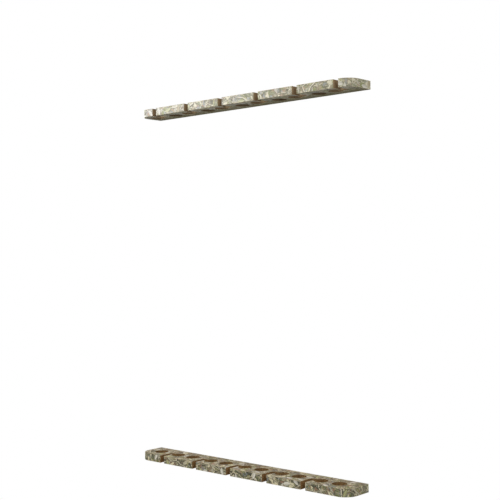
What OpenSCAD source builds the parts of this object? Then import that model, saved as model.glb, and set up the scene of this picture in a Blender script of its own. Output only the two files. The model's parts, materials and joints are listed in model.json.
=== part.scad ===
// Rod rack for a wall: two rails, one above the other.
// X runs along the rails to the right, Y runs into the wall, Z is up.
// Y = 0 is the wall; Z = 0 is the middle of the lower rail's thickness.
// The columns at X = -2.5 to 2.5 pitches have a butt hole below and a seat above.
// The columns between them, moved right by seat_offset, have a seat below and a butt hole above.
// The upper rail as a whole hangs upper_shift to the right of plumb over the lower one.

/* [Layout] */
// distance between neighbouring places of one row
rod_pitch = 101.6; // [90:0.1:115]
// how many butt holes the lower rail has; its slots are one fewer
lower_butts = 6; // [5:1:8]
// how far the second row of places stands to the right of midway between the first
seat_offset = 7.5; // [0:0.5:14]
// height of the upper rail's middle above the lower rail's middle
rail_rise = 782.8; // [500:0.1:900]
// how far to the right of plumb the upper rail hangs
upper_shift = 3.5; // [0:0.5:6]

/* [Boards] */
// distance from the centre of the lower rail's first butt hole to its left end
lower_left_margin = 38.5; // [34:0.5:60]
// distance from the centre of the lower rail's last butt hole to its right end
lower_right_margin = 45.5; // [38:0.5:60]
// distance from the centre of the upper rail's first seat to its left end
upper_left_margin = 27.5; // [24:0.5:34]
// depth of a rail from the wall to its front edge
rail_depth = 67; // [64:0.5:90]
// thickness of the bare board
core_thickness = 15.9; // [14.5:0.1:22]
// radius of the two rounded front corners
corner_radius = 28; // [12:0.5:32]

/* [Covering] */
// thickness of the printed sheet on each broad face
laminate_thickness = 0.4; // [0.3:0.05:1]
// thickness of the printed strip round the front edge and the ends
edge_thickness = 0.8; // [0.5:0.1:2]

/* [Butt holes] */
// diameter of each blind butt hole, which holds what stands in it
butt_diameter = 31; // [24:0.5:32]
// depth of that hole from the covered face
butt_depth = 10.5; // [8:0.25:13]
// distance from the front edge to the hole's centre
butt_inset = 33; // [28:0.5:36]

/* [Slots] */
// width of the way in from the front edge, and of the turn towards the seat
channel_width = 12.25; // [9:0.25:14]
// distance from the front edge to the middle of the turn and of the seat
seat_inset = 30.5; // [25:0.5:36]
// diameter of the round seat at the end of the turn
seat_diameter = 30; // [20:0.5:32]
// sideways distance from the way in to the seat's centre
hook_reach = 22.5; // [20:0.5:28]

/* [Keyhole plates] */
// distance between the two plates of a rail, centre to centre
plate_spacing = 406.4; // [300:0.1:450]
// overall length of a plate, its ends being half rounds
plate_length = 44.5; // [43.5:0.5:60]
// height of a plate
plate_height = 12.7; // [11:0.1:14]
// thickness of a plate
plate_thickness = 1.6; // [1.4:0.1:2.4]
// width of the narrow keyhole slot
keyhole_width = 5; // [4:0.1:6]
// end to end length of the narrow slot
keyhole_length = 22; // [18:0.5:24]
// diameter of the round entry in the middle of the slot
entry_diameter = 9.5; // [8:0.1:10]
// length of the pocket behind the slot, for the wall screw's head
pocket_length = 26; // [24:0.5:28]
// height of that pocket
pocket_height = 10; // [9.5:0.1:11]
// depth of the pocket behind the plate
pocket_depth = 6; // [4.5:0.25:9]

/* [Plate screws] */
// distance between the two screws of a plate
screw_spacing = 35; // [32:0.5:35.5]
// length of a screw, head included
screw_length = 16; // [12:0.5:18]
// diameter of a screw's shank
shank_diameter = 3.5; // [3:0.1:3.8]
// diameter of a screw's countersunk head
head_diameter = 6.6; // [5.5:0.1:7]
// length of a screw's pointed end
point_length = 3; // [2:0.25:4]
// diameter of the small flat on the point
point_diameter = 1.2; // [0.6:0.1:1.6]
// width of one bar of the cross recess
recess_width = 0.9; // [0.6:0.05:1.2]
// length of one bar of the cross recess
recess_length = 3.6; // [2.5:0.1:4.2]
// depth of the cross recess
recess_depth = 1.1; // [0.6:0.05:1.4]

/* [Clearances] */
// gap round a plate in its seat in the board's back edge
plate_clearance = 0.3; // [0.25:0.05:0.6]
// gap round a screw in the plate and in its pilot hole
screw_clearance = 0.3; // [0.25:0.05:0.4]
// glue line left between the bent edge strip and the board at the round corners
corner_gap = 0.3; // [0.25:0.05:0.6]

/* [Colours] */
// colour of the bare board
core_colour = "#8a6642"; // ["#8a6642", "#a98055"]
// colour of the printed sheet
print_colour = "#b9b59c"; // ["#b9b59c", "#8c8b6e"]
// colour of the keyhole plates
plate_colour = "#b8b9bb"; // ["#b8b9bb", "#c9b37a"]
// colour of the plate screws
screw_colour = "#8f9194"; // ["#8f9194", "#c9b37a"]

/* [Hidden] */
$fn = 96;
// cutting bodies run past the faces they cut by this much
past = 2;
lower_slots = lower_butts - 1;
half_thickness = core_thickness / 2 + laminate_thickness;
front_y = -rail_depth;
butt_y = front_y + butt_inset;
seat_y = front_y + seat_inset;
inner_corner = corner_radius - edge_thickness;
core_corner = inner_corner - corner_gap;
head_height = (head_diameter - shank_diameter) / 2;
sink_diameter = head_diameter + 2 * screw_clearance;
pilot_diameter = shank_diameter + 2 * screw_clearance;

// A row is [number of places, X of its first place].
row_reach = (lower_butts - 1) / 2 * rod_pitch;
first_row = [lower_butts, -row_reach];
second_row = [lower_slots, seat_offset - (lower_slots - 1) / 2 * rod_pitch];

// Both boards are cut to one length.
board_length = 2 * row_reach + lower_left_margin + lower_right_margin;
upper_left_end = -row_reach - upper_left_margin;

// A rail is [left end X, right end X, butt hole row, seat row, hook direction].
// The hook direction is where the seat lies as seen from the way in: 1 is right, -1 is left.
lower_rail = [
    -row_reach - lower_left_margin, row_reach + lower_right_margin,
    first_row, second_row, 1
];
upper_rail = [
    upper_left_end, upper_left_end + board_length,
    second_row, first_row, -1
];

function place_x(row, i) = row[1] + i * rod_pitch;
function channel_x(rail, i) = place_x(rail[3], i) - rail[4] * hook_reach;
function last_slot(rail) = rail[3][0] - 1;

// Plan of a rail, square at the wall, with an arc at each of the two front corners.
// The board's own plan is set in by the edge strip, and its arc by the glue line as well.
module rail_plan(rail, inset, arc) {
    difference() {
        translate([rail[0] + inset, front_y + inset])
            square([rail[1] - rail[0] - 2 * inset, rail_depth - inset]);
        translate([rail[0], front_y])
            corner_waste(arc);
        translate([rail[1], front_y])
            mirror([1, 0])
                corner_waste(arc);
    }
}

// What an arc takes away from the square corner at the origin.
module corner_waste(arc) {
    difference() {
        translate([-past, -past])
            square(corner_radius + past);
        translate([corner_radius, corner_radius])
            circle(r = arc);
    }
}

// Plan of one hooked slot: the way in, the turn and the round seat.
module slot_plan(rail, i) {
    cx = channel_x(rail, i);
    sx = place_x(rail[3], i);
    translate([cx - channel_width / 2, front_y - past])
        square([channel_width, seat_inset + past]);
    translate([cx, seat_y])
        circle(d = channel_width);
    translate([min(cx, sx), seat_y - channel_width / 2])
        square([hook_reach, channel_width]);
    translate([sx, seat_y])
        circle(d = seat_diameter);
}

// All hooked slots of a rail as one cutting body through its whole thickness.
module slot_cuts(rail) {
    for (i = [0 : last_slot(rail)])
        translate([0, 0, -half_thickness - past])
            linear_extrude(2 * (half_thickness + past))
                slot_plan(rail, i);
}

// Blind butt holes, drilled from the rail's top face.
module butt_cuts(rail) {
    for (i = [0 : rail[2][0] - 1])
        translate([place_x(rail[2], i), butt_y, half_thickness - butt_depth])
            cylinder(h = butt_depth + past, d = butt_diameter);
}

// Two dimensional stadium, long along X.
module stadium(length, height) {
    square([length - height, height], center = true);
    for (side = [-1, 1])
        translate([side * (length - height) / 2, 0])
            circle(d = height);
}

// Turns a shape drawn in X and Y so that it stands in X and Z and grows towards the front.
module from_wall(start, depth) {
    translate([0, -start, 0])
        rotate([90, 0, 0])
            linear_extrude(depth)
                children();
}

// Seat, head pocket and two pilot holes for one keyhole plate, at X = 0.
module plate_cuts() {
    from_wall(-past, plate_thickness + past)
        stadium(plate_length + 2 * plate_clearance, plate_height + 2 * plate_clearance);
    from_wall(0, plate_thickness + pocket_depth)
        stadium(pocket_length, pocket_height);
    for (side = [-1, 1])
        translate([side * screw_spacing / 2, 0, 0])
            from_wall(0, screw_length)
                circle(d = pilot_diameter);
}

// The board of a rail, with its broad faces level and its drilled face up.
module board(rail) {
    difference() {
        translate([0, 0, -core_thickness / 2])
            linear_extrude(core_thickness)
                rail_plan(rail, edge_thickness, core_corner);
        slot_cuts(rail);
        butt_cuts(rail);
        for (side = [-1, 1])
            translate([side * plate_spacing / 2, 0, 0])
                plate_cuts();
    }
}

// Printed sheet on the drilled face, cut by the slots and the butt holes.
module drilled_laminate(rail) {
    difference() {
        translate([0, 0, core_thickness / 2])
            linear_extrude(laminate_thickness)
                rail_plan(rail, 0, corner_radius);
        slot_cuts(rail);
        butt_cuts(rail);
    }
}

// Printed sheet on the other face, cut by the slots only.
module plain_laminate(rail) {
    difference() {
        translate([0, 0, -half_thickness])
            linear_extrude(laminate_thickness)
                rail_plan(rail, 0, corner_radius);
        slot_cuts(rail);
    }
}

// The strip round the front edge and the ends, between two places in X.
// The slots part it, as it is glued on before they are milled.
module edge_strip(rail, from_x, to_x) {
    difference() {
        translate([0, 0, -core_thickness / 2])
            linear_extrude(core_thickness)
                intersection() {
                    difference() {
                        rail_plan(rail, 0, corner_radius);
                        rail_plan(rail, edge_thickness, inner_corner);
                    }
                    translate([from_x, front_y])
                        square([to_x - from_x, rail_depth]);
                }
        slot_cuts(rail);
    }
}

// The two ends' strips run from the wall round the corner to the nearest way in.
module left_edge(rail) {
    edge_strip(rail, rail[0], channel_x(rail, 0));
}

module right_edge(rail) {
    edge_strip(rail, channel_x(rail, last_slot(rail)), rail[1]);
}

// The front's strips are one between each two neighbouring ways in.
module front_edge(rail) {
    edge_strip(rail, channel_x(rail, 0), channel_x(rail, last_slot(rail)));
}

// Steel keyhole plate let into the back edge, flush with it.
module keyhole_plate(side) {
    translate([side * plate_spacing / 2, 0, 0])
        difference() {
            from_wall(0, plate_thickness)
                stadium(plate_length, plate_height);
            from_wall(-past, plate_thickness + 2 * past) {
                stadium(keyhole_length, keyhole_width);
                circle(d = entry_diameter);
            }
            for (end = [-1, 1])
                translate([end * screw_spacing / 2, 0, 0])
                    screw_hole();
        }
}

// Countersunk hole through a plate.
module screw_hole() {
    rotate([90, 0, 0]) {
        translate([0, 0, -past])
            cylinder(h = plate_thickness + 2 * past, d = pilot_diameter);
        translate([0, 0, -past])
            cylinder(h = head_height + past, d1 = sink_diameter + 2 * past, d2 = pilot_diameter);
    }
}

// Two countersunk wood screws of one plate; their points stand on the ends of the pilot holes.
module plate_screws(side) {
    for (end = [-1, 1])
        translate([side * plate_spacing / 2 + end * screw_spacing / 2, 0, 0])
            rotate([90, 0, 0])
                wood_screw();
}

// One screw along +Z, with the top of its head at Z = 0.
module wood_screw() {
    difference() {
        union() {
            cylinder(h = head_height, d1 = head_diameter, d2 = shank_diameter);
            cylinder(h = screw_length - point_length, d = shank_diameter);
            translate([0, 0, screw_length - point_length])
                cylinder(h = point_length, d1 = shank_diameter, d2 = point_diameter);
        }
        for (turn = [0, 90])
            rotate([0, 0, turn])
                translate([-recess_length / 2, -recess_width / 2, -past])
                    cube([recess_length, recess_width, recess_depth + past]);
    }
}

// The upper rail is drilled from below, so its parts are drawn with the drilled face down.
module upper_place() {
    translate([upper_shift, 0, rail_rise])
        mirror([0, 0, 1])
            children();
}

module lower_board() {
    color(core_colour)
        board(lower_rail);
}

module lower_top_laminate() {
    color(print_colour)
        drilled_laminate(lower_rail);
}

module lower_bottom_laminate() {
    color(print_colour)
        plain_laminate(lower_rail);
}

module lower_left_edge() {
    color(print_colour)
        left_edge(lower_rail);
}

module lower_front_edge() {
    color(print_colour)
        front_edge(lower_rail);
}

module lower_right_edge() {
    color(print_colour)
        right_edge(lower_rail);
}

module lower_left_plate() {
    color(plate_colour)
        keyhole_plate(-1);
}

module lower_right_plate() {
    color(plate_colour)
        keyhole_plate(1);
}

module lower_left_screws() {
    color(screw_colour)
        plate_screws(-1);
}

module lower_right_screws() {
    color(screw_colour)
        plate_screws(1);
}

module upper_board() {
    color(core_colour)
        upper_place()
            board(upper_rail);
}

module upper_bottom_laminate() {
    color(print_colour)
        upper_place()
            drilled_laminate(upper_rail);
}

module upper_top_laminate() {
    color(print_colour)
        upper_place()
            plain_laminate(upper_rail);
}

module upper_left_edge() {
    color(print_colour)
        upper_place()
            left_edge(upper_rail);
}

module upper_front_edge() {
    color(print_colour)
        upper_place()
            front_edge(upper_rail);
}

module upper_right_edge() {
    color(print_colour)
        upper_place()
            right_edge(upper_rail);
}

module upper_left_plate() {
    color(plate_colour)
        upper_place()
            keyhole_plate(-1);
}

module upper_right_plate() {
    color(plate_colour)
        upper_place()
            keyhole_plate(1);
}

module upper_left_screws() {
    color(screw_colour)
        upper_place()
            plate_screws(-1);
}

module upper_right_screws() {
    color(screw_colour)
        upper_place()
            plate_screws(1);
}

lower_board();
lower_top_laminate();
lower_bottom_laminate();
lower_left_edge();
lower_front_edge();
lower_right_edge();
lower_left_plate();
lower_right_plate();
lower_left_screws();
lower_right_screws();
upper_board();
upper_bottom_laminate();
upper_top_laminate();
upper_left_edge();
upper_front_edge();
upper_right_edge();
upper_left_plate();
upper_right_plate();
upper_left_screws();
upper_right_screws();
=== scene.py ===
import json
import math

import bpy
from mathutils import Matrix, Vector


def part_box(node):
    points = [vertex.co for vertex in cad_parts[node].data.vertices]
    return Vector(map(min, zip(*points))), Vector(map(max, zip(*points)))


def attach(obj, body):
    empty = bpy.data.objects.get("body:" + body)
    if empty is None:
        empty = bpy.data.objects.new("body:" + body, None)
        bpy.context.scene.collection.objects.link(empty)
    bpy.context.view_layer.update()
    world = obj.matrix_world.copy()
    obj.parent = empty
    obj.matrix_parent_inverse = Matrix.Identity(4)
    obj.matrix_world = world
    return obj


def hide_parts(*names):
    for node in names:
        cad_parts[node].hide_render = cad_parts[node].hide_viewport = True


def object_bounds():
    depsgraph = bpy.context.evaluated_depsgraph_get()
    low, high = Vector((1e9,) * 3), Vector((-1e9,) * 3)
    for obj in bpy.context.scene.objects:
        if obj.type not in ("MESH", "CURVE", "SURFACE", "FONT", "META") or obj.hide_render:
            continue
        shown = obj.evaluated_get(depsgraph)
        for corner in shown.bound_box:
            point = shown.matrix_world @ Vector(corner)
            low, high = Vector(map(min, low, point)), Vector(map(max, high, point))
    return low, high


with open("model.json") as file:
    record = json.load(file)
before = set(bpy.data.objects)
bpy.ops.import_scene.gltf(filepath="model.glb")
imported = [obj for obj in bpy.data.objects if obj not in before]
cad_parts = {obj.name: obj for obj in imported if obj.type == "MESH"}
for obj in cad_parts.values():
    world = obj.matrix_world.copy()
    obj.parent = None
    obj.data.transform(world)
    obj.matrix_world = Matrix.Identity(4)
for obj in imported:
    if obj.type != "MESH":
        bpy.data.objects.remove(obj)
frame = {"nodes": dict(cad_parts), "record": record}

cad_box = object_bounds()


# The two boards
# Each rail is one board of brown wood fibre, milled right through with hooked slots from its front
# edge and drilled with blind butt holes between them. The cut faces and the back edge stay bare.

# meshes and the depth of relief are in metres, and patterns in millimetres; y is 0 at the back edges
# and falls towards the front
BOARD_EASE = 0.0002
BOARD_RELIEF = 0.0006
MERGE_DISTANCE = 0.000002
JOINED_ANGLE = math.radians(0.5)
SHARP_ANGLE = math.radians(35)
SMOOTH_ANGLE = math.radians(28)


def closed_copy(node_name, piece_name):
    """A merged copy of a node's mesh, with its flat faces joined up again."""
    copy = bpy.data.objects.new(piece_name, frame["nodes"][node_name].data.copy())
    bpy.context.collection.objects.link(copy)
    bpy.ops.object.select_all(action="DESELECT")
    copy.select_set(True)
    bpy.context.view_layer.objects.active = copy
    copy.data.materials.clear()
    bpy.ops.mesh.customdata_custom_splitnormals_clear()
    bpy.ops.object.mode_set(mode="EDIT")
    bpy.ops.mesh.select_all(action="SELECT")
    bpy.ops.mesh.remove_doubles(threshold=MERGE_DISTANCE)
    bpy.ops.mesh.dissolve_limited(angle_limit=JOINED_ANGLE)
    bpy.ops.object.mode_set(mode="OBJECT")
    return copy


def ease_edges(piece, width, steps=2, finish=-1):
    """Breaks every sharp edge of a piece; finish is the material slot that the broken edge takes."""
    bevel = piece.modifiers.new("eased edges", "BEVEL")
    bevel.limit_method = "ANGLE"
    bevel.angle_limit = SHARP_ANGLE
    bevel.width = width
    bevel.segments = steps
    bevel.material = finish
    bpy.ops.object.modifier_apply(modifier=bevel.name)
    bpy.ops.object.mode_set(mode="EDIT")
    bpy.ops.mesh.select_all(action="SELECT")
    bpy.ops.mesh.dissolve_degenerate(threshold=MERGE_DISTANCE)
    bpy.ops.object.mode_set(mode="OBJECT")
    bpy.ops.object.shade_smooth_by_angle(angle=SMOOTH_ANGLE)


def fit_piece(piece, node_name):
    """The piece takes the node's place on the rack."""
    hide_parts(node_name)
    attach(piece, "root")


def tone(code):
    """A written colour as the linear values that a shader takes."""
    parts = [int(code[i:i + 2], 16) / 255 for i in (1, 3, 5)]
    parts = [c / 12.92 if c <= 0.04045 else ((c + 0.055) / 1.055) ** 2.4 for c in parts]
    return (*parts, 1.0)


def connect(tree, source, target):
    tree.links.new(source, target)


def put(tree, kind, settings=None, **feeds):
    """Adds one shader node, sets it and feeds its inputs; in2 is the third input by place."""
    step = tree.nodes.new("ShaderNode" + kind)
    for name, value in (settings or {}).items():
        setattr(step, name, value)
    for name, value in feeds.items():
        by_place = name.startswith("in") and name[2:].isdigit()
        target = step.inputs[int(name[2:])] if by_place else step.inputs[name.replace("_", " ")]
        if isinstance(value, bpy.types.NodeSocket):
            connect(tree, value, target)
        else:
            target.default_value = value
    return step


def calc(tree, operation, a, b=0.0, c=0.0):
    """One step of reckoning with numbers."""
    return put(tree, "Math", {"operation": operation}, in0=a, in1=b, in2=c).outputs[0]


def far_from_origin(tree, place):
    return put(tree, "VectorMath", {"operation": "LENGTH"}, in0=place).outputs["Value"]


def fade(tree, value, start, end, low=0.0, high=1.0):
    """Runs smoothly from low at start to high at end."""
    step = put(tree, "MapRange", {"interpolation_type": "SMOOTHSTEP"}, Value=value)
    for place, number in zip((1, 2, 3, 4), (start, end, low, high)):
        step.inputs[place].default_value = number
    return step.outputs[0]


def lay(tree, amount, under, over, how="MIX"):
    """Lays one colour over another."""
    step = put(tree, "Mix", {"data_type": "RGBA", "blend_type": how}, in0=amount, in6=under, in7=over)
    return step.outputs[2]


def shades(tree, value, stops, how="LINEAR"):
    """Gives a value between 0 and 1 its colour from the stops."""
    step = put(tree, "ValToRGB", Fac=value)
    ramp = step.color_ramp
    ramp.interpolation = how
    while len(ramp.elements) < len(stops):
        ramp.elements.new(0.5)
    for element, (place, code) in zip(ramp.elements, stops):
        element.position = place
        element.color = tone(code)
    return step.outputs[0]


def clouds(tree, place, size, detail=3.0, rough=0.5, warp=0.0, flat=False):
    """Soft noise whose patches are about size millimetres across."""
    step = put(tree, "TexNoise", {"noise_dimensions": "2D" if flat else "3D"}, Vector=place,
               Scale=1 / size, Detail=detail, Roughness=rough, Distortion=warp)
    return step.outputs[0]


def moved(tree, place, shift=(0.0, 0.0, 0.0), turn=0.0, scale=(1.0, 1.0, 1.0)):
    """A place that is scaled, then turned about the vertical, then shifted.

    A scale under 1 draws a pattern out along that axis, and 0 leaves the axis out."""
    step = put(tree, "Mapping", Vector=place, Location=shift, Rotation=(0.0, 0.0, turn), Scale=scale)
    return step.outputs[0]


def millimetres(tree, shift=(0.0, 0.0, 0.0), scale=(1.0, 1.0, 1.0)):
    """The place on the rack in millimetres, scaled and shifted."""
    place = put(tree, "TexCoord").outputs["Object"]
    return moved(tree, place, shift, scale=tuple(1000 * s for s in scale))


def start_material(name):
    material = bpy.data.materials.new(name)
    material.use_nodes = True
    tree = material.node_tree
    shader = next(step for step in tree.nodes if step.type == "BSDF_PRINCIPLED")
    return material, tree, shader


def raise_surface(tree, shader, height, depth, strength=1.0):
    """Raises the surface by depth metres where the height is 1."""
    step = put(tree, "Bump", Strength=strength, Distance=depth, Height=height)
    connect(tree, step.outputs[0], shader.inputs["Normal"])


def board_middle(rail):
    """The height of the middle of a board in millimetres."""
    low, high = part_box(f"{rail}_board")
    return 1000 * (low.z + high.z) / 2


def level_and_walls(tree):
    """Two masks: 1 on the faces that lie level, and 1 on the walls."""
    normal = put(tree, "NewGeometry").outputs["Normal"]
    upward = put(tree, "SeparateXYZ", Vector=normal).outputs[2]
    level = fade(tree, calc(tree, "ABSOLUTE", upward), 0.6, 0.8)
    return level, calc(tree, "SUBTRACT", 1.0, level)


BOARD_BROWNS = [(0.28, "#5c4327"), (0.5, "#7e5f3b"), (0.72, "#9f7f52")]
PALE_FIBRE = "#c49d6c"
DARK_FIBRE = "#4b321d"
BROAD_CLOUD = "#6a4a2e"
UPPER_PALER_TONE = "#ab9a7e"


def fibre_browns(tree, place, dust, fibres, rail):
    """Brown wood dust with pale and dark fibres in it, under broad soft clouds."""
    colour = shades(tree, dust, BOARD_BROWNS)
    colour = lay(tree, fade(tree, fibres, 0.58, 0.72), colour, tone(PALE_FIBRE))
    colour = lay(tree, fade(tree, fibres, 0.42, 0.30), colour, tone(DARK_FIBRE))
    broad = clouds(tree, place, size=34.0, detail=2.0)
    colour = lay(tree, fade(tree, broad, 0.3, 0.7, 0.0, 0.22), colour, tone(BROAD_CLOUD))
    if rail == "upper":
        # the upper board is made paler than the lower one
        colour = lay(tree, 0.5, colour, tone(UPPER_PALER_TONE))
    return colour


# heights above or below the middle of the board
SKIN_START_Z = 5.4
SKIN_FULL_Z = 7.9
PRESSED_SKIN = "#54371f"


def press_skin(tree, colour, z, walls):
    """The press leaves the outer millimetre or two of the board harder and darker."""
    skin = fade(tree, calc(tree, "ABSOLUTE", z), SKIN_START_Z, SKIN_FULL_Z, 0.0, 0.42)
    return lay(tree, calc(tree, "MULTIPLY", skin, walls), colour, tone(PRESSED_SKIN))


# y values between which the walls are painted darker towards the back edge: painted shade
BACK_SHADE_START_Y = -52.0
BACK_SHADE_FULL_Y = -26.0
SCORCH = "#3f2a19"
# the colour of that painted shade
BACK_SHADE = "#3f402e"


def scorch_and_back_shade(tree, colour, upright, y, walls):
    """The cutter scorches the walls here and there, and painted shade darkens them towards the back edge.
    """
    scorch = fade(tree, clouds(tree, upright, size=9.0, detail=1.0), 0.55, 0.75, 0.0, 0.35)
    colour = lay(tree, calc(tree, "MULTIPLY", scorch, walls), colour, tone(SCORCH))
    # painted shade on the walls, growing towards the back edge
    back_shade = fade(tree, y, BACK_SHADE_START_Y, BACK_SHADE_FULL_Y, 0.0, 0.24)
    return lay(tree, calc(tree, "MULTIPLY", back_shade, walls), colour, tone(BACK_SHADE))


def butt_axis(rail, number):
    """Where the axis of a butt hole stands, as x and y in millimetres."""
    name = f"{rail}_butt_hole_{number}"
    hole = next(mount for mount in frame["record"]["mounts"] if mount["name"] == name)
    return [1000 * metres for metres in hole["pos_m"][:2]]


def drill_radius(tree, x, y, rail):
    """How far a place lies from the axis of the nearest butt hole."""
    first_x, line_y = butt_axis(rail, 1)
    pitch = butt_axis(rail, 2)[0] - first_x
    along = calc(tree, "SUBTRACT", x, first_x - pitch / 2)
    along = calc(tree, "SUBTRACT", calc(tree, "FLOORED_MODULO", along, pitch), pitch / 2)
    across = calc(tree, "SUBTRACT", y, line_y)
    return far_from_origin(tree, put(tree, "CombineXYZ", X=along, Y=across).outputs[0])


# radians of the ring wave to a millimetre, and the radii of the painted shade at the floor's rim and in the
# dimple
RING_WAVE = 5.2
RIM_START_R = 11.0
RIM_FULL_R = 14.4
POINT_START_R = 1.6
POINT_FULL_R = 0.9
DRILL_RING = "#4a311d"
RIM_SHADE = "#2f1f12"
DIMPLE_SHADE = "#24170d"


def drill_rings(tree, radius, level):
    """Fine rings that the drill leaves on the floors of the blind holes."""
    wave = calc(tree, "SINE", calc(tree, "MULTIPLY", radius, RING_WAVE))
    return calc(tree, "MULTIPLY", calc(tree, "MULTIPLY_ADD", wave, 0.5, 0.5), level)


def drill_marks_and_shade(tree, colour, radius, rings, level):
    """Darkens the rings, and paints shade where the floor meets the wall and in the dimple under the
    drill's point.
    """
    # painted shade: the floor darkens towards the wall and in the dimple under the drill's point
    rim = fade(tree, radius, RIM_START_R, RIM_FULL_R, 0.0, 0.55)
    point = fade(tree, radius, POINT_START_R, POINT_FULL_R)
    colour = lay(tree, calc(tree, "MULTIPLY", rings, 0.25), colour, tone(DRILL_RING))
    colour = lay(tree, calc(tree, "MULTIPLY", rim, level), colour, tone(RIM_SHADE))
    return lay(tree, calc(tree, "MULTIPLY", point, level), colour, tone(DIMPLE_SHADE))


DULL_SPECULAR = 0.04


def fibre_board(rail):
    """Bare board: fibres, a darker dense skin under each face, scorch marks, drilled floors, and painted
    shade.
    """
    material, tree, shader = start_material(f"bare fibre board, {rail}")
    to_middle = (0.0, 0.0, -board_middle(rail))
    place = millimetres(tree, to_middle)
    lengthwise = millimetres(tree, to_middle, (0.22, 1.0, 1.6))
    upright = millimetres(tree, scale=(1.0, 1.0, 0.03))
    x, y, z = put(tree, "SeparateXYZ", Vector=place).outputs
    level, walls = level_and_walls(tree)
    dust = clouds(tree, place, size=2.4, detail=6.0, rough=0.62)
    fibres = clouds(tree, lengthwise, size=0.5, detail=2.0, rough=0.7)
    chatter = calc(tree, "MULTIPLY", clouds(tree, upright, size=0.8, detail=1.0, rough=0.4), walls)
    radius = drill_radius(tree, x, y, rail)
    rings = drill_rings(tree, radius, level)

    colour = fibre_browns(tree, place, dust, fibres, rail)
    colour = press_skin(tree, colour, z, walls)
    colour = scorch_and_back_shade(tree, colour, upright, y, walls)
    colour = drill_marks_and_shade(tree, colour, radius, rings, level)
    connect(tree, colour, shader.inputs["Base Color"])
    connect(tree, fade(tree, dust, 0.2, 0.8, 0.78, 0.96), shader.inputs["Roughness"])
    shader.inputs["Specular IOR Level"].default_value = DULL_SPECULAR

    height = 0.0
    for pattern, share in ((fibres, 0.45), (dust, 0.3), (chatter, 0.5), (rings, 0.35)):
        height = calc(tree, "MULTIPLY_ADD", pattern, share, height)
    raise_surface(tree, shader, height, BOARD_RELIEF)
    return material


for rail in ("lower", "upper"):
    board = closed_copy(f"{rail}_board", f"{rail}_milled_board")
    board.data.materials.append(fibre_board(rail))
    ease_edges(board, BOARD_EASE)
    fit_piece(board, f"{rail}_board")


# The printed sheets
# A thin sheet of resin paper with a woodland print is glued to both broad faces of each board
# before it is milled, so the slots and holes cut through it and show its pale edge.

SHEET_EASE = 0.00012
SHEET_FRONT_Y = -62.0
SHEET_BACK_Y = -6.0

# where each sheet lies on the print, how deep its colours are, a darker tint, and how much of it there is
# at the front and at the back; the tint is partly the print's own tone and partly painted shade, strongest
# at the back of the upper rail's underside, and the upper sheets' paler colours are partly painted light
SHEETS = {
    "lower_top": dict(shift=(40.0, 12.0), depth=1.02, stain="#68503a", at_front=0.24, at_back=0.36),
    "lower_bottom": dict(shift=(310.0, 150.0), depth=1.0, stain="#74502f", at_front=0.15, at_back=0.3),
    "upper_top": dict(shift=(720.0, 260.0), depth=0.8, stain="#8a7a5c", at_front=0.1, at_back=0.25),
    "upper_bottom": dict(shift=(1130.0, 410.0), depth=0.68, stain="#5a511c", at_front=0.12, at_back=0.76),
}


def reckon(tree, operation, a, b, c=(0.0, 0.0, 0.0)):
    """One step of reckoning with vectors."""
    return put(tree, "VectorMath", {"operation": operation}, in0=a, in1=b, in2=c).outputs[0]


BARK = [(0.3, "#2c2a1e"), (0.43, "#625f49"), (0.54, "#8f8a6c"), (0.68, "#c6c0a2")]

# soft patches out of focus: size in millimetres, noise where they begin and are full, colour, cover
PATCHES = (
    (17.0, 0.50, 0.54, "#2b2a20", 0.88),
    (24.0, 0.54, 0.58, "#5f692c", 0.85),
    (15.0, 0.55, 0.60, "#957159", 0.8),
    (13.0, 0.56, 0.60, "#80868a", 0.65),
    (20.0, 0.56, 0.59, "#d6cdab", 0.92),
)


def bark_ground(tree, place):
    """Weathered bark behind everything, with the soft patches over it."""
    grain = moved(tree, place, turn=0.35, scale=(0.35, 1.0, 0.0))
    bark = clouds(tree, grain, size=5.5, detail=5.0, rough=0.62, warp=0.6, flat=True)
    colour = shades(tree, bark, BARK)
    for size, start, full, code, cover in PATCHES:
        elsewhere = reckon(tree, "ADD", place, (7.3 * size, 3.1 * size, 0.0))
        patch = clouds(tree, elsewhere, size, warp=0.3, flat=True)
        colour = lay(tree, fade(tree, patch, start, full, 0.0, cover), colour, tone(code))
    return colour


LEAF_DARK_HALF = "#2c2a1c"
LEAF_VEIN = "#ddd6ba"
LEAF_MIDRIB = "#e6dfc6"
LEAF_SHADOW = "#1f1c13"

# details of a leaf, in parts of the cell that it lies in
VEIN_SLANT = 0.9
VEIN_WAVE = 46.0
BLADE_SOFTNESS = 0.025
SHADOW_OFFSET = 0.07
SHADOW_SPREAD = 0.05
SHADOW_SOFTNESS = 0.14


def leaf_tint(tree, along, across, chance, tints):
    """One tint to a leaf, with one half darker, pale slanting veins and a pale midrib."""
    tint = shades(tree, chance, tints, "CONSTANT")
    dark_half = fade(tree, across, -0.02, 0.02, 0.0, 0.28)
    tint = lay(tree, dark_half, tint, tone(LEAF_DARK_HALF), "MULTIPLY")
    side = calc(tree, "ABSOLUTE", across)
    slant = calc(tree, "MULTIPLY_ADD", side, -VEIN_SLANT, along)
    veins = calc(tree, "SINE", calc(tree, "MULTIPLY", slant, VEIN_WAVE))
    tint = lay(tree, fade(tree, veins, 0.55, 0.95, 0.0, 0.22), tint, tone(LEAF_VEIN))
    return lay(tree, fade(tree, side, 0.026, 0.008, 0.0, 0.5), tint, tone(LEAF_MIDRIB))


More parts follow.
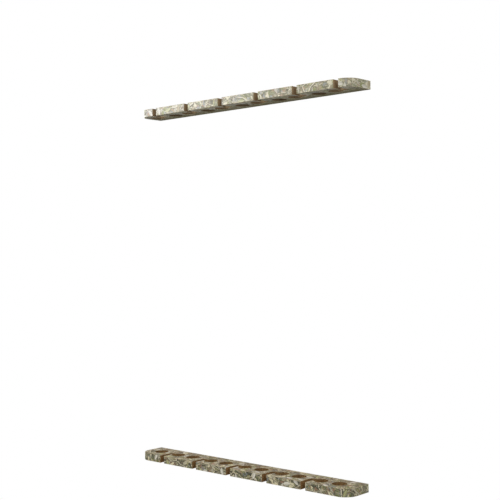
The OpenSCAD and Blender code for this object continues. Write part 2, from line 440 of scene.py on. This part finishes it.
def leaf_layer(tree, place, under, *, cell, turn, shift, half_length, half_width, share, tints,
               shadow, lobes=0.0):
    """Scatters one kind of leaf over what is under it, each leaf turned its own way.

    A cell is so many millimetres wide, and share of the cells hold a leaf, whose half length and
    half width are parts of a cell. lobes makes its sides wavy, and shadow is its shadow's depth."""
    grid = moved(tree, place, (*shift, 0.0), turn, (1 / cell, 1 / cell, 0.0))
    cells = put(tree, "TexVoronoi", {"voronoi_dimensions": "2D", "feature": "F1"}, Vector=grid,
                Scale=1.0, Randomness=0.85)
    spin_chance, leaf_chance, tint_chance = put(tree, "SeparateColor", Color=cells.outputs["Color"]).outputs
    away = reckon(tree, "SUBTRACT", grid, cells.outputs["Position"])
    spin = calc(tree, "MULTIPLY", spin_chance, 2 * math.pi)
    leaf = put(tree, "VectorRotate", {"rotation_type": "Z_AXIS"}, Vector=away, Angle=spin).outputs[0]
    along, across, _ = put(tree, "SeparateXYZ", Vector=leaf).outputs

    run = calc(tree, "DIVIDE", along, half_length)
    taper = calc(tree, "SUBTRACT", 1.0, calc(tree, "MULTIPLY", run, run))
    reach = calc(tree, "MULTIPLY", taper, half_width)
    if lobes:
        wave = calc(tree, "COSINE", calc(tree, "MULTIPLY", along, lobes))
        reach = calc(tree, "MULTIPLY", reach, calc(tree, "MULTIPLY_ADD", wave, 0.3, 0.8))

    here = fade(tree, leaf_chance, 1 - share - 0.01, 1 - share)
    inside = calc(tree, "SUBTRACT", reach, calc(tree, "ABSOLUTE", across))
    blade = calc(tree, "MULTIPLY", fade(tree, inside, 0.0, BLADE_SOFTNESS), here)
    shade_side = calc(tree, "ABSOLUTE", calc(tree, "ADD", across, SHADOW_OFFSET))
    shaded = calc(tree, "SUBTRACT", calc(tree, "ADD", reach, SHADOW_SPREAD), shade_side)
    shade = calc(tree, "MULTIPLY", fade(tree, shaded, 0.0, SHADOW_SOFTNESS), here)
    under = lay(tree, calc(tree, "MULTIPLY", shade, shadow), under, tone(LEAF_SHADOW))
    return lay(tree, blade, under, leaf_tint(tree, along, across, tint_chance, tints))


TWIG_SWAY = 0.28


def twig_layer(tree, place, under, *, cell, turn, scale_along, thickness, dark, pale):
    """Thin crossing twigs, dark on one side and pale on the other, broken up by soft gaps.

    The twigs stand about a cell of so many millimetres apart, and thickness is a part of a cell."""
    bent = moved(tree, place, turn=turn, scale=(scale_along / cell, 1 / cell, 0.0))
    sway = put(tree, "TexNoise", {"noise_dimensions": "2D"}, Vector=bent, Scale=2.2, Detail=2.0).outputs[1]
    sway = reckon(tree, "MULTIPLY_ADD", sway, (TWIG_SWAY, TWIG_SWAY, 0.0), bent)
    gaps = fade(tree, clouds(tree, place, size=2.6 * cell, detail=1.0, flat=True), 0.46, 0.54)
    for aside, colour, girth in ((0.02, dark, 1.35), (-0.012, pale, 0.8)):
        spot = reckon(tree, "ADD", sway, (0.0, aside, 0.0))
        edge = put(tree, "TexVoronoi", {"voronoi_dimensions": "2D", "feature": "DISTANCE_TO_EDGE"},
                   Vector=spot, Scale=1.0, Randomness=1.0).outputs["Distance"]
        line = fade(tree, edge, thickness * girth, 0.45 * thickness * girth)
        under = lay(tree, calc(tree, "MULTIPLY", line, gaps), under, tone(colour))
    return under


# four kinds of leaf, each with the chances at which its tints begin
DIM_LEAVES = [(0.0, "#51553f"), (0.35, "#474c2c"), (0.6, "#666763"), (0.85, "#6d6355")]
TINY_LEAVES = [(0.0, "#3c3e20"), (0.3, "#606437"), (0.6, "#4e3d2a"), (0.8, "#7d7846")]
WAVY_LEAVES = [(0.0, "#596038"), (0.35, "#8a8650"), (0.6, "#70583f"), (0.8, "#a69f8c")]
PALE_LEAVES = [(0.0, "#c6c1b4"), (0.4, "#a3a36c"), (0.65, "#8e7b58"), (0.85, "#d8d3c4")]
PRINT_SPECK = "#f0ead6"


def woodland_print():
    """The print as one group: a place on the sheet in millimetres gives its colour."""
    tree = bpy.data.node_groups.new("woodland print", "ShaderNodeTree")
    for name, kind in (("Place", "Vector"), ("Depth", "Float"), ("Stain", "Color"), ("Stained", "Float")):
        tree.interface.new_socket(name, in_out="INPUT", socket_type="NodeSocket" + kind)
    tree.interface.new_socket("Colour", in_out="OUTPUT", socket_type="NodeSocketColor")
    place, depth, stain, stained = tree.nodes.new("NodeGroupInput").outputs[:4]
    leave = tree.nodes.new("NodeGroupOutput")

    colour = bark_ground(tree, place)
    colour = leaf_layer(tree, place, colour, cell=34.0, turn=0.15, shift=(9.1, 16.3),
                        half_length=0.40, half_width=0.22, share=0.7, tints=DIM_LEAVES, shadow=0.4)
    colour = twig_layer(tree, place, colour, cell=30.0, turn=0.5, scale_along=0.45, thickness=0.045,
                        dark="#40372a", pale="#b9ae92")
    colour = leaf_layer(tree, place, colour, cell=8.0, turn=0.3, shift=(3.2, 7.7),
                        half_length=0.62, half_width=0.20, share=0.55, tints=TINY_LEAVES, shadow=0.7)
    colour = leaf_layer(tree, place, colour, cell=13.0, turn=1.1, shift=(11.4, 2.9), half_length=0.60,
                        half_width=0.26, share=0.5, tints=WAVY_LEAVES, shadow=0.75, lobes=13.0)
    colour = twig_layer(tree, place, colour, cell=44.0, turn=-0.7, scale_along=0.6, thickness=0.03,
                        dark="#3a3226", pale="#d3cab0")
    colour = twig_layer(tree, place, colour, cell=17.0, turn=0.95, scale_along=0.4, thickness=0.04,
                        dark="#2f2c22", pale="#cbc3a6")
    colour = leaf_layer(tree, place, colour, cell=19.0, turn=0.7, shift=(5.8, 13.1),
                        half_length=0.55, half_width=0.22, share=0.34, tints=PALE_LEAVES, shadow=0.8)
    speck = clouds(tree, place, size=0.7, detail=2.0, rough=0.6, flat=True)
    colour = lay(tree, fade(tree, speck, 0.35, 0.7, 0.0, 0.16), colour, tone(PRINT_SPECK), "SCREEN")
    # Depth is a gamma: the upper rail's lower values make its print paler, partly its own tone and partly
    # painted light
    colour = put(tree, "Gamma", Color=colour, Gamma=depth).outputs[0]
    # the darker tint laid on last is partly the print's own tone and partly painted shade
    connect(tree, lay(tree, stained, colour, stain), leave.inputs[0])
    return tree


SCUFF = "#c9c5b4"
EMBOSSING = 0.00012
print_group = woodland_print()


def print_and_cover(tree, shader, place, depth, stain, stained):
    """Prints a face with a darker tint laid on, partly the print's own tone and partly painted shade, then
    covers it with matt, lightly scuffed and finely embossed resin.
    """
    ink = put(tree, "Group", {"node_tree": print_group}, Place=place, Depth=depth, Stain=tone(stain),
              Stained=stained).outputs[0]
    solid_place = millimetres(tree)
    scuffs = clouds(tree, solid_place, size=45.0, detail=5.0, rough=0.65)
    colour = lay(tree, fade(tree, scuffs, 0.6, 0.8, 0.0, 0.18), ink, tone(SCUFF))
    connect(tree, colour, shader.inputs["Base Color"])
    connect(tree, fade(tree, scuffs, 0.3, 0.75, 0.6, 0.75), shader.inputs["Roughness"])
    shader.inputs["Specular IOR Level"].default_value = DULL_SPECULAR
    pebbles = clouds(tree, solid_place, size=0.6, rough=0.55)
    raise_surface(tree, shader, pebbles, EMBOSSING, 0.6)


def printed_sheet(name, shift, depth, stain, at_front, at_back):
    """The print laid flat on a broad face, with a darker tint laid on more towards the back: partly the
    print's own tone and partly painted shade.
    """
    material, tree, shader = start_material(name)
    y = put(tree, "SeparateXYZ", Vector=millimetres(tree)).outputs[1]
    # painted shade with some of the print's own tone: darker towards the back, most on the underside of the
    # upper rail
    stained = fade(tree, y, SHEET_FRONT_Y, SHEET_BACK_Y, at_front, at_back)
    flat_place = millimetres(tree, (*shift, 0.0), (1.0, 1.0, 0.0))
    print_and_cover(tree, shader, flat_place, depth, stain, stained)
    return material


PAPER = [(0.3, "#8b7a5c"), (0.5, "#b3a482"), (0.7, "#cdc1a2")]
PAPER_RELIEF = 0.0001


def cut_paper():
    """The cut edge of a sheet or strip: pale resin paper, browned by the milling dust."""
    material, tree, shader = start_material("cut paper edge")
    dust = clouds(tree, millimetres(tree), size=1.6, detail=4.0, rough=0.6)
    connect(tree, shades(tree, dust, PAPER), shader.inputs["Base Color"])
    connect(tree, fade(tree, dust, 0.3, 0.7, 0.6, 0.8), shader.inputs["Roughness"])
    raise_surface(tree, shader, dust, PAPER_RELIEF)
    return material


def face_the_print(piece, outside):
    """Faces that outside picks by their normal get the print, slot 0, and others the cut edge, slot 1."""
    for face in piece.data.polygons:
        face.material_index = 0 if outside(face.normal) else 1


paper_edge = cut_paper()
for face_name, inking in SHEETS.items():
    node_name = f"{face_name}_laminate"
    piece_name = f"{face_name}_sheet"
    sheet = closed_copy(node_name, piece_name)
    sheet.data.materials.append(printed_sheet(piece_name.replace("_", " "), **inking))
    sheet.data.materials.append(paper_edge)
    face_the_print(sheet, lambda normal: abs(normal.z) > 0.5)
    ease_edges(sheet, SHEET_EASE, steps=1, finish=1)
    fit_piece(sheet, node_name)


# The edge strips
# A printed strip of the same paper is glued round the front edge, the two rounded corners and the
# ends before the slots are milled, so each slot's mouth parts it and leaves a row of lengths.

STRIP_EASE = 0.00015
RAIL_DEPTH = 1000 * (cad_box[1].y - cad_box[0].y)
STRIP_LEFT_X = -290.0
STRIP_RIGHT_X = 310.0
# from here to the right end an olive tint is laid on, partly the print's own colour and partly painted
# shade
TINT_AND_SHADE_START_X = 40.0
STRIP_TINT_AND_SHADE = "#7d7a45"

# where each rail's strips lie on the print, how deep their colours are at the left and at the right, and
# how much olive tint is laid on at the right; the upper strips are paler overall, partly painted light, and
# paler still at the left, painted light from the lamp at the front left, and the olive is partly the
# print's own colour and partly painted shade
STRIPS = {
    "lower": dict(shift=(5660.0, 383.0), depth_left=1.10, depth_right=1.06, tint_and_shade_right=0.08),
    "upper": dict(shift=(905.0, -640.0), depth_left=0.51, depth_right=0.66, tint_and_shade_right=0.24),
}


def printed_strip(name, side, shift, depth_left, depth_right, tint_and_shade_right):
    """The print wrapped round a rail: along its front, and on round both corners to the back."""
    material, tree, shader = start_material(name)
    x, y, z = put(tree, "SeparateXYZ", Vector=millimetres(tree)).outputs
    # from the front, where y is minus the rail's depth, the run goes on to both sides as y rises
    to_right = side == "right"
    run = calc(tree, "ADD", x, shift[0] + (2 * RAIL_DEPTH if to_right else 0.0))
    run = calc(tree, "ADD" if to_right else "SUBTRACT", run, y)
    wrapped = put(tree, "CombineXYZ", X=run, Y=calc(tree, "ADD", z, shift[1])).outputs[0]
    # painted light and shade along the rail: the upper strips are paler at the left, near the lamp, and the
    # olive towards the right is partly painted shade
    depth = fade(tree, x, STRIP_LEFT_X, STRIP_RIGHT_X, depth_left, depth_right)
    stained = fade(tree, x, TINT_AND_SHADE_START_X, STRIP_RIGHT_X, 0.0, tint_and_shade_right)
    print_and_cover(tree, shader, wrapped, depth, STRIP_TINT_AND_SHADE, stained)
    return material


def strip_outside(side):
    """Picks a strip's outer face: the front, the corner and the end, but not the ends of its length."""
    if side == "front":
        return lambda normal: normal.y < -0.5
    if side == "left":
        return lambda normal: normal.x + normal.y < -0.5 and abs(normal.z) < 0.5
    return lambda normal: normal.y - normal.x < -0.5 and abs(normal.z) < 0.5


for rail, inking in STRIPS.items():
    for side in ("left", "front", "right"):
        strip = closed_copy(f"{rail}_{side}_edge", f"{rail}_{side}_strip")
        strip.data.materials.append(printed_strip(f"{rail} {side} strip", side, **inking))
        strip.data.materials.append(paper_edge)
        face_the_print(strip, strip_outside(side))
        ease_edges(strip, STRIP_EASE, steps=1)
        fit_piece(strip, f"{rail}_{side}_edge")


# The keyhole plates
# Four pressed plates of zinc-plated steel are let into the back edges, flush with the wood. Each
# has a keyhole slot to hang the rail by, and is held by two countersunk screws.

PLATE_EASE = 0.00018
ZINC_RELIEF = 0.00004
ZINC_BLOOM = "#b9b6a6"


def zinc_steel(name, bright, dark, brushing):
    """Zinc-plated steel with a faint grey bloom; brushing is the scale of its fine brush marks."""
    material, tree, shader = start_material(name)
    brushed = clouds(tree, millimetres(tree, scale=brushing), size=0.35, detail=2.0, rough=0.6)
    bloom = clouds(tree, millimetres(tree), size=5.0, detail=4.0, rough=0.6)
    colour = shades(tree, brushed, [(0.3, dark), (0.7, bright)])
    colour = lay(tree, fade(tree, bloom, 0.5, 0.75, 0.0, 0.4), colour, tone(ZINC_BLOOM))
    connect(tree, colour, shader.inputs["Base Color"])
    shader.inputs["Metallic"].default_value = 1.0
    connect(tree, fade(tree, bloom, 0.3, 0.75, 0.28, 0.5), shader.inputs["Roughness"])
    raise_surface(tree, shader, brushed, ZINC_RELIEF, 0.5)
    return material


plate_steel = zinc_steel("zinc plate", "#c9cac9", "#a3a4a3", brushing=(0.06, 1.0, 1.0))
for rail in ("lower", "upper"):
    for side in ("left", "right"):
        plate = closed_copy(f"{rail}_{side}_plate", f"{rail}_{side}_keyhole_plate")
        plate.data.materials.append(plate_steel)
        ease_edges(plate, PLATE_EASE)
        fit_piece(plate, f"{rail}_{side}_plate")


# The plate screws
# Two short wood screws of zinc-plated steel with cross recesses hold each plate. Only their heads
# show, level with the plate; their shanks are in the board.

SCREW_EASE = 0.00008

screw_steel = zinc_steel("screw zinc", "#b4b3ae", "#86857f", brushing=(1.0, 1.0, 1.0))
for rail in ("lower", "upper"):
    for side in ("left", "right"):
        pair = closed_copy(f"{rail}_{side}_screws", f"{rail}_{side}_plate_screws")
        pair.data.materials.append(screw_steel)
        ease_edges(pair, SCREW_EASE, steps=1)
        fit_piece(pair, f"{rail}_{side}_screws")


# The room
# The rack hangs in a plain pale room: a floor below it that fades out, a large soft lamp high at
# the front left, a weaker one at the right, and light from all round, stronger from above.

FLOOR_HEIGHT = -0.62
FLOOR_RADIUS = 1.9
RIM_FADE_START = 0.9
RIM_FADE_END = 1.85
FLOOR_PALE = [(0.3, "#ededeb"), (0.7, "#f6f6f4")]
FLOOR_BOUNCE = "#b4b4b2"
FLOOR_GLOW = 0.55
WHITE = (1.0, 1.0, 1.0, 1.0)


def seen_rays(tree):
    """1 for rays that show the room, straight, in gloss or through glass, and 0 for its light."""
    rays = put(tree, "LightPath").outputs
    seen = calc(tree, "MAXIMUM", rays["Is Camera Ray"], rays["Is Glossy Ray"])
    return calc(tree, "MAXIMUM", seen, rays["Is Transmission Ray"])


def pale_floor():
    """A matt floor that looks almost white, keeps a soft shadow and fades out towards its rim."""
    material, tree, shader = start_material("pale floor")
    place = put(tree, "TexCoord").outputs["Object"]
    seen = seen_rays(tree)
    speckle = put(tree, "TexNoise", Vector=place, Scale=60.0, Detail=4.0).outputs[0]
    colour = lay(tree, seen, tone(FLOOR_BOUNCE), shades(tree, speckle, FLOOR_PALE))
    connect(tree, colour, shader.inputs["Base Color"])
    shader.inputs["Roughness"].default_value = 0.9
    glow = put(tree, "Emission", Color=WHITE, Strength=1.0).outputs[0]
    glow_share = calc(tree, "MULTIPLY", seen, FLOOR_GLOW)
    lit = put(tree, "MixShader", in0=glow_share, in1=shader.outputs[0], in2=glow).outputs[0]
    clear = put(tree, "BsdfTransparent").outputs[0]
    distance = far_from_origin(tree, reckon(tree, "MULTIPLY", place, (1.0, 1.0, 0.0)))
    gone = fade(tree, distance, RIM_FADE_START, RIM_FADE_END)
    faded = put(tree, "MixShader", in0=gone, in1=lit, in2=clear).outputs[0]
    output = next(step for step in tree.nodes if step.type == "OUTPUT_MATERIAL")
    connect(tree, faded, output.inputs["Surface"])
    return material


SKY_BELOW = 0.22
SKY_ABOVE = 0.62


def light_from_all_round():
    """Even light, stronger from above, in a room that looks plain white."""
    world = bpy.data.worlds.new("pale room")
    bpy.context.scene.world = world
    world.use_nodes = True
    tree = world.node_tree
    tree.nodes.clear()
    direction = put(tree, "TexCoord").outputs["Generated"]
    upward = put(tree, "SeparateXYZ", Vector=direction).outputs[2]
    strength = fade(tree, upward, -0.8, 0.8, SKY_BELOW, SKY_ABOVE)
    even = put(tree, "Background", Color=WHITE, Strength=strength).outputs[0]
    white = put(tree, "Background", Color=WHITE, Strength=1.0).outputs[0]
    both = put(tree, "MixShader", in0=seen_rays(tree), in1=even, in2=white).outputs[0]
    connect(tree, both, put(tree, "OutputWorld").inputs["Surface"])


def soft_lamp(name, place, aim, size, power):
    """A round lamp, so many metres across and of so many watts, turned to where it aims."""
    lamp = bpy.data.lights.new(name, "AREA")
    lamp.shape = "DISK"
    lamp.size = size
    lamp.energy = power
    holder = bpy.data.objects.new(name, lamp)
    bpy.context.collection.objects.link(holder)
    holder.location = place
    holder.rotation_euler = (Vector(aim) - Vector(place)).to_track_quat("-Z", "Y").to_euler()


bpy.ops.object.select_all(action="DESELECT")
bpy.ops.mesh.primitive_circle_add(vertices=96, radius=FLOOR_RADIUS, fill_type="NGON",
                                  location=(0.0, 0.0, 0.0))
floor = bpy.context.object
floor.name = "floor"
floor.data.transform(Matrix.Translation((0.0, 0.0, FLOOR_HEIGHT)))
floor.data.materials.append(pale_floor())

light_from_all_round()
soft_lamp("key lamp", place=(-0.9, -1.1, 1.75), aim=(0.0, 0.0, 0.55), size=0.9, power=29)
soft_lamp("fill lamp", place=(1.7, -0.7, 0.85), aim=(0.1, 0.0, 0.5), size=1, power=9.5)


# The camera
# It stands to the right of the rack, a little above its middle, and looks along it to the left.

# the place is in metres, the angles are in degrees, and the lens and the sensor in millimetres
CAMERA_PLACE = (1.3995, -1.5661, 0.4550)
CAMERA_TURN = -41.879
CAMERA_TILT = -0.904
CAMERA_LEAN = -0.734
SENSOR_WIDTH = 36.0
LENS = 70.315
LENS_SHIFT = 0.044
FARTHEST_SEEN = 60.0

turn, tilt, lean = (math.radians(angle) for angle in (CAMERA_TURN, CAMERA_TILT, CAMERA_LEAN))
forward = Vector((math.sin(turn) * math.cos(tilt), math.cos(turn) * math.cos(tilt), math.sin(tilt)))
level_right = Vector((math.cos(turn), -math.sin(turn), 0.0))
level_up = level_right.cross(forward)
right = level_right * math.cos(lean) + level_up * math.sin(lean)
up = level_up * math.cos(lean) - level_right * math.sin(lean)
stand = Matrix((right, up, -forward)).transposed().to_4x4()
stand.translation = CAMERA_PLACE

camera_data = bpy.data.cameras.new("camera")
camera_data.sensor_width = SENSOR_WIDTH
camera_data.lens = LENS
camera_data.shift_y = LENS_SHIFT
camera_data.clip_end = FARTHEST_SEEN
camera = bpy.data.objects.new("camera", camera_data)
bpy.context.collection.objects.link(camera)
camera.matrix_world = stand
bpy.context.scene.camera = camera
bpy.context.scene.view_settings.view_transform = "Standard"
